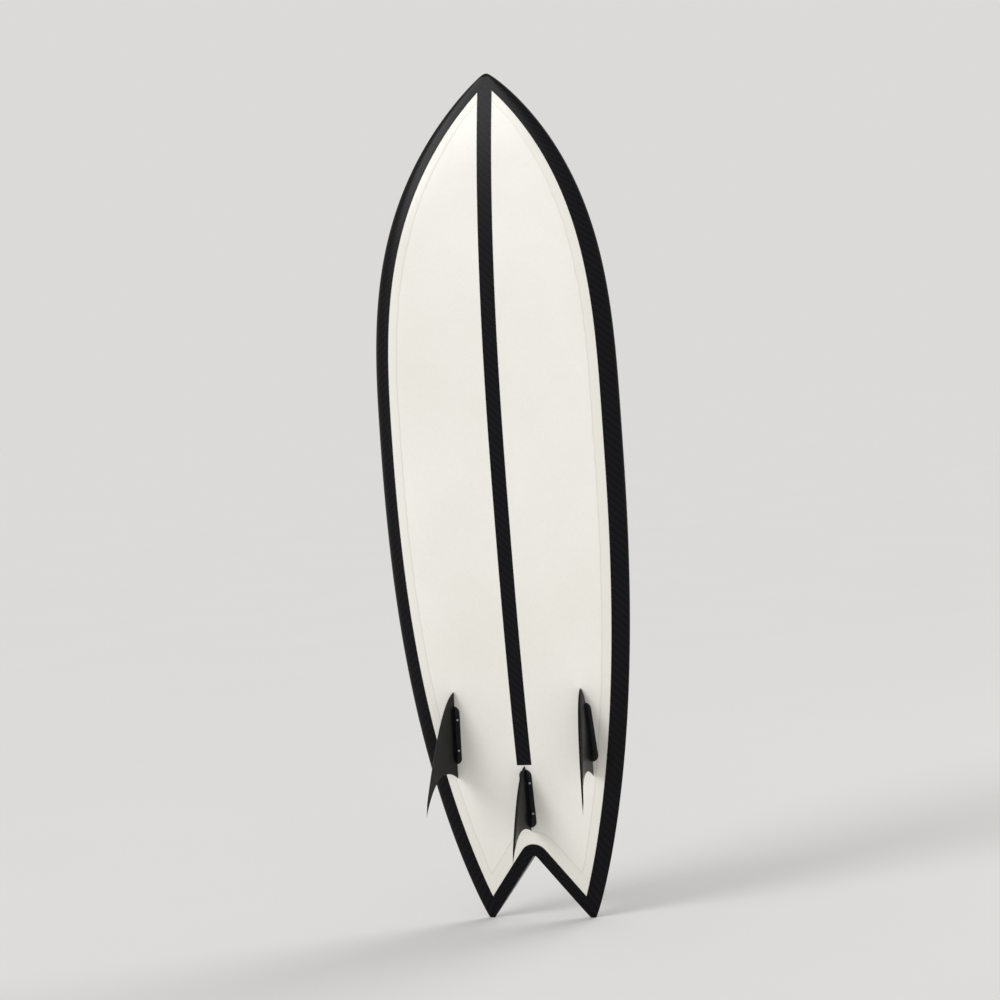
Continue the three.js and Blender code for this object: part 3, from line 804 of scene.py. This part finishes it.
def rail_tape(name, side):
    corner = leaves_rail_tape(NOTCH_EDGE + TAPE_GAP, 0)
    join = reaches_rail_tape(TAPE_GAP / 2)
    rows = np.array(sorted([GAP, corner, STRIP_CORNER, join, *TIP_ROWS]))

    def face(deck):
        def points(depth):
            z = rows[:, None]
            rail = half_width(z) + side_growth(z, depth)
            beside_notch = notch_edge(z, NOTCH_EDGE + TAPE_GAP + fillet(z, TIP_EDGE))
            inner = np.minimum(np.maximum(np.maximum(clear_of_rails(z), beside_notch), TAPE_GAP / 2), rail)
            x = inner + (rail - inner) * np.sin(np.linspace(0, math.pi / 2, RAIL_COLUMNS))
            return x, board_y(x, z, deck, depth), past_nose(z, depth)

        return points

    shell = Shell(*TAPE_DEPTHS).sheet(face(False), (side,)).sheet(face(True), (side,))
    obj = add_weave_map(shade(shell.object(f"{name}_wrap"), TAPE_SHARP), around_rail)
    finished(obj, TAPE_CARBON, "carbon", "board", name)


def notch_lines(insets, starts):
    """X and Z of lines inside the notch's right-hand outline, from their starts to the middle."""
    radius = NOTCH_RADIUS + insets
    z = starts + (ARC_Z + radius * INTO_Z - starts) * np.linspace(0, 1, LINE_POINTS)[:, None]
    turn = np.linspace(math.asin(INTO_Z), math.pi / 2, ARC_POINTS)[1:, None]
    x = np.concatenate([notch_edge(z, insets), radius * np.cos(turn)])
    return x, np.concatenate([z, ARC_Z + radius * np.sin(turn)])


def notch_tape():
    """The tape over the notch's wall and its rounded edges, and flat on the deck and the bottom."""
    start = leaves_rail_tape(NOTCH_EDGE, TAPE_GAP)
    flat = np.linspace(NOTCH_EDGE, NOTCH_TAPE_WIDTH, NOTCH_COLUMNS)
    flat_starts = np.array([leaves_rail_tape(inset, TAPE_GAP) for inset in flat])

    def rounded(depth):
        insets = depth + (NOTCH_EDGE - depth) * (1 - np.cos(np.linspace(0, math.pi / 2, EDGE_COLUMNS)))
        x, z = notch_lines(insets, start)
        tip = np.array([GAP, *TIP_ROWS[TIP_ROWS < start]])[:, None] + 0 * insets
        return np.concatenate([notch_edge(tip, insets + fillet(tip, TIP_EDGE)), x]), np.concatenate([tip, z])

    def face(lines, deck):
        def points(depth):
            x, z = lines(depth)
            return x, board_y(x, z, deck, depth), z

        return points

    def wall(depth):
        x, z = (part[:, :1] for part in rounded(depth))
        low, high = (board_y(x, z, deck, depth) for deck in (False, True))
        return x, low + (high - low) * WALL, z

    shell = Shell(*TAPE_DEPTHS).sheet(wall)
    for deck in (False, True):
        shell.sheet(face(rounded, deck)).sheet(face(lambda _: notch_lines(flat, flat_starts), deck))
    obj = shade(shell.object("notch_tape_wrap"), TAPE_SHARP)
    add_weave_map(obj, lambda x, y, z: notch_distance(x, z) + y)
    finished(obj, TAPE_CARBON, "carbon", "board", "notch_tape")


def stringer_tape(name, deck):
    """A strip on the centre line that narrows to a point between the rail tapes at the nose."""
    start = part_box(name)[0].z
    end = reaches_rail_tape(2 * TAPE_GAP)
    apart = 1 * MM
    between = ROWS[(ROWS > start + apart) & (ROWS < end - apart)]
    rows = np.array(sorted([start, *between, STRIP_CORNER, end]))

    def points(depth):
        z = rows[:, None]
        half = np.minimum(STRINGER_TAPE_WIDTH / 2, clear_of_rails(z) - TAPE_GAP)
        x = half * np.linspace(-1, 1, STRIP_COLUMNS)
        return x, board_y(x, z, deck, depth), past_nose(z, depth)

    obj = shade(Shell(*TAPE_DEPTHS).sheet(points, (1,)).object(f"{name}_strip"), TAPE_SHARP)
    add_weave_map(obj, lambda x, y, z: x)
    finished(obj, TAPE_CARBON, "carbon", "board", name)


def tapes():
    rail_tape("rail_tape_left", -1)
    rail_tape("rail_tape_right", 1)
    notch_tape()
    stringer_tape("stringer_tape_bottom", False)
    stringer_tape("stringer_tape_deck", True)


# ---------------------------------------------------------------- fins, boxes and grub screws


def leading(s, base):
    return base * (0.5 - (1 + FIN_RAKE) * s**LEADING_CURVE)


def trailing(s, base):
    hollow = FIN_HOLLOW * math.sin(math.pi * s**HOLLOW_CURVE)
    return base * (hollow - 0.5 - FIN_RAKE * s**TRAILING_CURVE)


def foil(c):
    """Half the thickness of the standard four-digit foil, for a share c of the chord."""
    return 5 * (0.2969 * np.sqrt(c) - 0.126 * c - 0.3516 * c**2 + 0.2843 * c**3 - 0.1036 * c**4)


def fin_ring(plan, s, count=28):
    """A closed section of the blade at a share s of its depth."""
    base, depth, side = plan["base"], plan["depth"], plan["side"]
    front, back = leading(s, base), trailing(s, base)
    thick = FIN_THICKNESS * (1 - FIN_THINNING * s) * (2 if side else 1)
    lean = side * (s * depth * math.tan(math.radians(plan["cant"])) - FIN_THICKNESS * FLAT_FACE)
    c = 0.5 - 0.5 * np.cos(np.linspace(0, math.pi, count))
    narrowing = min(1.0, (front - back) / FIN_TIP_CHORD)
    rounded = (foil(c) * thick + FIN_EDGE * np.sqrt(c)) * narrowing
    flat = FIN_EDGE / 2 * np.sqrt(c) * narrowing
    y = np.full(count, -GAP - s * (depth - GAP))
    z = front + (back - front) * c
    faces = [np.stack([lean + face * (flat if face == -side else rounded), y, z], -1) for face in (-1, 1)]
    return np.concatenate([faces[0], faces[1][-1:0:-1]])


def fin(name, plan, matrix):
    sections, crowding, tip_share = 45, 1.5, 0.9998
    shares = 1 - (1 - np.linspace(0, 1, sections + 1)[:-1]) ** crowding
    blade = loft(f"fin_{name}_blade", [fin_ring(plan, s) for s in [*shares, tip_share]])
    middles = (-TAB_PITCH / 2, TAB_PITCH / 2)
    tabs = [block(TAB_THICKNESS, TAB_LENGTH, -2 * GAP, TAB_DEPTH, middle, TAB_ROUND) for middle in middles]
    obj = shade(place(combine(blade, tabs, "UNION"), matrix), sharp_degrees=40)
    add_weave_map(obj, lambda x, y, z: y)
    finished(obj, FIN_CARBON, "fin_black", f"fin_{name}", f"fin_{name}")


def screw_frame(middle, inner):
    turn = Matrix.Rotation(inner * SCREW_TILT, 4, "Z")
    return Matrix.Translation((inner * SCREW_ACROSS, 0, middle)) @ turn


def fin_box(name, matrix, inner):
    lip_length, lip_width = (size + 2 * BOX_LIP_WIDTH for size in (BOX_LENGTH, BOX_WIDTH))
    profile = [
        (lip_length - 2 * BOX_EDGE, lip_width - 2 * BOX_EDGE, 0),
        (lip_length - BOX_EDGE / 2, lip_width - BOX_EDGE / 2, BOX_EDGE / 3),
        (lip_length, lip_width, BOX_EDGE),
        (lip_length, lip_width, BOX_LIP),
        (BOX_LENGTH, BOX_WIDTH, BOX_LIP),
        (BOX_LENGTH, BOX_WIDTH, BOX_DEPTH),
    ]
    body = loft(f"fin_box_{name}_body", [stadium(length, width, y) for length, width, y in profile])
    wide, long = (size + 2 * SLOT_CLEARANCE for size in (TAB_THICKNESS, TAB_LENGTH))
    deep = TAB_DEPTH + 2 * SLOT_CLEARANCE
    radius = SCREW_RADIUS + THREAD_CLEARANCE
    cutters = []
    for middle in (-TAB_PITCH / 2, TAB_PITCH / 2):
        cutters.append(block(wide, long, -deep, deep, middle, TAB_ROUND))
        bore_profile = [(radius, -SCREW_RADIUS), (radius, SCREW_LENGTH + SCREW_RADIUS)]
        bore = lathe("bore", bore_profile, ROD_SIDES)
        cutters.append(place(bore, screw_frame(middle, inner)))
    obj = shade(place(combine(body, cutters), matrix), sharp_degrees=30)
    finished(obj, NYLON, "box_black", "board", f"fin_box_{name}")


def grub_screw(name, matrix):
    """A set screw with a hexagon socket, the rounds of its thread and a cone at its inner end."""
    end = SCREW_SUNK + SCREW_LENGTH
    rings = [
        hexagon(SOCKET_RADIUS, SCREW_SUNK + SOCKET_DEPTH, SCREW_SIDES),
        hexagon(SOCKET_RADIUS, SCREW_SUNK + SCREW_EDGE / 2, SCREW_SIDES),
        hexagon(SOCKET_RADIUS + SCREW_EDGE / 4, SCREW_SUNK, SCREW_SIDES),
        circle(SCREW_RADIUS - SCREW_EDGE, SCREW_SUNK, SCREW_SIDES),
    ]
    for turn in range(THREAD_ROUNDS):
        y = SCREW_SUNK + SCREW_EDGE + turn * THREAD_PITCH
        rings.append(circle(SCREW_RADIUS - THREAD_HEIGHT, y, SCREW_SIDES))
        rings.append(circle(SCREW_RADIUS, y + THREAD_PITCH / 2, SCREW_SIDES))
    rings.append(circle(SCREW_RADIUS - THREAD_HEIGHT, end - SCREW_CONE, SCREW_SIDES))
    rings.append(circle(SCREW_POINT, end, SCREW_SIDES))
    obj = shade(place(loft(f"{name}_body", rings), matrix), sharp_degrees=28)
    finished(obj, STEEL, "steel", name, name)


def fins():
    for name, plan in FINS.items():
        matrix = fin_frame(plan)
        inner = -1 if plan["side"] > 0 else 1
        fin(name, plan, matrix)
        fin_box(name, matrix, inner)
        for end, middle in (("rear", -TAB_PITCH / 2), ("front", TAB_PITCH / 2)):
            grub_screw(f"grub_screw_{name}_{end}", matrix @ screw_frame(middle, inner))


# ---------------------------------------------------------------- leash cup

PIN_FRAME = Matrix.Translation((0, PIN_SUNK, 0)) @ Matrix.Rotation(math.pi / 2, 4, "Z")


def leash_cup():
    """A moulded cup with a rounded rim, and holes in its sides for the pin."""
    edge, floor_y = CUP_EDGE, CUP_DEPTH - CUP_FLOOR
    turn = np.linspace(0, math.pi / 2, 6)
    fall, round_in = 1 - np.sin(turn), 1 - np.cos(turn)
    profile = [(CUP_RADIUS - edge, CUP_DEPTH), (CUP_RADIUS, CUP_DEPTH - edge)]
    profile += [(CUP_RADIUS, CUP_LIP), (CUP_LIP_RADIUS, CUP_LIP)]
    profile += zip(CUP_LIP_RADIUS - edge * round_in, edge * fall)
    profile += zip(CUP_BORE + edge * fall, edge * round_in)
    profile += zip(CUP_BORE - 2 * edge * round_in, floor_y - 2 * edge * fall)
    clearance = 0.1 * MM
    half = PIN_LENGTH / 2 + clearance
    hole_profile = [(PIN_RADIUS + clearance, y) for y in (-half, half)]
    hole = place(lathe("hole", hole_profile, ROD_SIDES), PIN_FRAME)
    cup = combine(lathe("leash_cup_body", profile, CUP_SIDES), [hole])
    finished(shade(place(cup, CUP_FRAME), sharp_degrees=40), NYLON, "box_black", "board", "leash_cup")


def leash_pin():
    half = PIN_LENGTH / 2
    profile = [(PIN_RADIUS - PIN_EDGE, -half), (PIN_RADIUS, PIN_EDGE - half)]
    profile += [(PIN_RADIUS, half - PIN_EDGE), (PIN_RADIUS - PIN_EDGE, half)]
    pin = place(lathe("leash_pin_rod", profile, ROD_SIDES), CUP_FRAME @ PIN_FRAME)
    finished(shade(pin, sharp_degrees=40), STEEL, "steel", "board", "leash_pin")


# ---------------------------------------------------------------- traction pad


def spread(size):
    """Distances from 0 to size, a pad's step apart, and closer together at the bevelled ends."""
    bevel = PAD_BEVEL * (1 - np.cos(np.linspace(0, math.pi / 2, 6)))
    steps = round((size - 2 * PAD_BEVEL) / PAD_STEP)
    middle = np.linspace(PAD_BEVEL, size - PAD_BEVEL, steps + 1)
    return np.concatenate([bevel[:-1], middle, size - bevel[-2::-1]])


def groove(value, pitch):
    """1 along the middle of each groove, falling to 0 at its edges."""
    off = np.abs(value / pitch % 1 - 0.5) * pitch
    return np.clip(GROOVE_FLATNESS * (1 - off / GROOVE_HALF_WIDTH), 0, 1)


def kick_share(z):
    """How far up the kick at the rear a point is, from 0 to 1."""
    return np.clip(1 - (z - PAD_REAR) / PAD_KICK_RUN, 0, 1)


def pad_height(x, z):
    up = kick_share(z)
    arch = np.clip(1 - (x / ARCH_HALF_WIDTH) ** 2, 0, 1)
    return PAD_THICKNESS + PAD_KICK * up**PAD_KICK_CURVE + ARCH_HEIGHT * arch * (1 - up)


def pad_piece(name, left, right, corners):
    """A pad piece between two edges, functions of z, with corner radii, and grooves in its top."""
    z = (PAD_REAR + spread(PAD_FRONT - PAD_REAR))[:, None]
    from_end = np.minimum(z - PAD_REAR, PAD_FRONT - z)
    start = left(z) + fillet(from_end, corners[0])
    end = right(z) - fillet(from_end, corners[1])
    widest = float(np.max(end - start))
    x = start + (end - start) * spread(widest) / widest
    from_edge = np.minimum(np.minimum(x - start, end - x), from_end)
    on_kick = np.clip(kick_share(z) / RIBS_ONSET, 0, 1)
    diamonds = np.maximum(groove(x + z, DIAMOND_PITCH), groove(x - z, DIAMOND_PITCH)) * (1 - on_kick)
    ribs = groove(z + 0 * x, RIB_PITCH) * on_kick
    inside = np.clip((from_edge - GROOVE_MARGIN) / GROOVE_HALF_WIDTH, 0, 1)
    cuts = np.maximum(diamonds, ribs) * inside
    deck = board_y(x, z, True)
    top = deck + pad_height(x, z) - GROOVE_DEPTH * cuts - fillet(from_edge, PAD_BEVEL)
    low = deck + GAP
    shell = Shell(0.0, 1.0)
    return shell.sheet(lambda share: (x, top + (low - top) * share, z), (1,)).object(name)


def mark_worn(obj):
    """Stores how close each point is to the top of the pad, to rub its high spots paler."""
    x, y, z = vertices(obj)
    sunk = board_y(x, z, True) + pad_height(x, z) - y
    return add_values(obj, "worn", np.clip(1 - sunk / GROOVE_DEPTH, 0, 1))


def pad_centre_edge(z):
    return np.full_like(z, PAD_HALF_CENTRE)


def pad_split_edge(z):
    return np.full_like(z, PAD_HALF_CENTRE + PAD_SPLIT)


def pad_outer_edge(z):
    share = (z - PAD_REAR) / (PAD_FRONT - PAD_REAR)
    return PAD_OUTER_REAR + (PAD_OUTER_FRONT - PAD_OUTER_REAR) * share


def pads():
    small, large = PAD_SMALL_CORNER, PAD_CORNER
    plans = {
        "tail_pad_center": (lambda z: -pad_centre_edge(z), pad_centre_edge, (small, small)),
        "tail_pad_right": (pad_split_edge, pad_outer_edge, (small, large)),
        "tail_pad_left": (lambda z: -pad_outer_edge(z), lambda z: -pad_split_edge(z), (large, small)),
    }
    for node, plan in plans.items():
        obj = mark_worn(shade(pad_piece(f"{node}_foam", *plan), sharp_degrees=60))
        finished(obj, EVA, "eva", "board", node)


# ---------------------------------------------------------------- core pieces, as the CAD has them


def core():
    foam, wood = foam_look("foam_look"), wood_look("wood_look")
    looks = {"foam_blank_left": foam, "foam_blank_right": foam, "stringer": wood}
    for node, material in looks.items():
        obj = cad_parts[node]
        obj.data.materials.clear()
        obj.data.materials.append(material)


# ---------------------------------------------------------------- floor, light and camera


def floor():
    size = 60.0
    mesh = bpy.data.meshes.new("floor")
    corners = [(-size, -size, 0), (size, -size, 0), (size, size, 0), (-size, size, 0)]
    mesh.from_pydata(corners, [], [(0, 1, 2, 3)])
    obj = bpy.data.objects.new("floor", mesh)
    bpy.context.scene.collection.objects.link(obj)
    look = Look("floor_look", {"Roughness": 1.0, "Specular IOR Level": 0.0})
    pale, paler = (0.635, 0.633, 0.628), (0.641, 0.639, 0.634)
    look.set("Base Color", look.ramp(look.noise(1.5, 3), (0.3, pale), (0.7, paler)))
    mesh.materials.append(look.material)


def lamp(name, kind, place_at, aim, power, **settings):
    light = bpy.data.lights.new(name, kind)
    light.energy = power
    for key, value in settings.items():
        setattr(light, key, value)
    obj = bpy.data.objects.new(name, light)
    obj.location = place_at
    obj.rotation_euler = (Vector(aim) - Vector(place_at)).to_track_quat("-Z", "Y").to_euler()
    bpy.context.scene.collection.objects.link(obj)


def studio():
    """Broad even light from all round, a soft key and back light, and two boxes for reflections."""
    middle = (0, 0, 0.9)
    lamp("key", "SUN", (-3.0, -4.0, 4.6), middle, 1.15, angle=math.radians(25))
    lamp("back", "SUN", (2.4, 3.4, 4.4), middle, 0.9, angle=math.radians(35))
    lamp("box_front", "AREA", (-2.4, -2.6, 1.6), middle, 5, shape="RECTANGLE", size=0.9, size_y=2.6)
    lamp("box_rear", "AREA", (2.6, 2.4, 1.6), middle, 6, shape="RECTANGLE", size=0.9, size_y=2.6)
    world = bpy.data.worlds.new("studio")
    world.use_nodes = True
    background = world.node_tree.nodes["Background"]
    background.inputs["Color"].default_value = (0.985, 0.975, 0.955, 1)
    background.inputs["Strength"].default_value = 0.72
    bpy.context.scene.world = world
    bpy.context.scene.view_settings.view_transform = "Standard"


def camera():
    """Looks at the bottom from a little to its right, tipped so that the board leans left."""
    azimuth, elevation, lean = math.radians(20), math.radians(3), math.radians(4.6)
    share_of_frame = 0.86
    data = bpy.data.cameras.new("camera")
    data.lens = 85
    obj = bpy.data.objects.new("camera", data)
    bpy.context.scene.collection.objects.link(obj)
    low, high = cad_box
    aim = Vector((0, (low.y + high.y) / 2, high.z / 2))
    level = math.cos(elevation)
    back = Vector((math.sin(azimuth) * level, -math.cos(azimuth) * level, math.sin(elevation)))
    obj.location = aim + back * (high.z / share_of_frame / 2 / math.tan(data.angle / 2))
    turn = (-back).to_track_quat("-Z", "Y").to_matrix().to_4x4() @ Matrix.Rotation(-lean, 4, "Z")
    obj.rotation_euler = turn.to_euler()
    bpy.context.scene.camera = obj


skins()
tapes()
fins()
leash_cup()
leash_pin()
pads()
core()
floor()
studio()
camera()
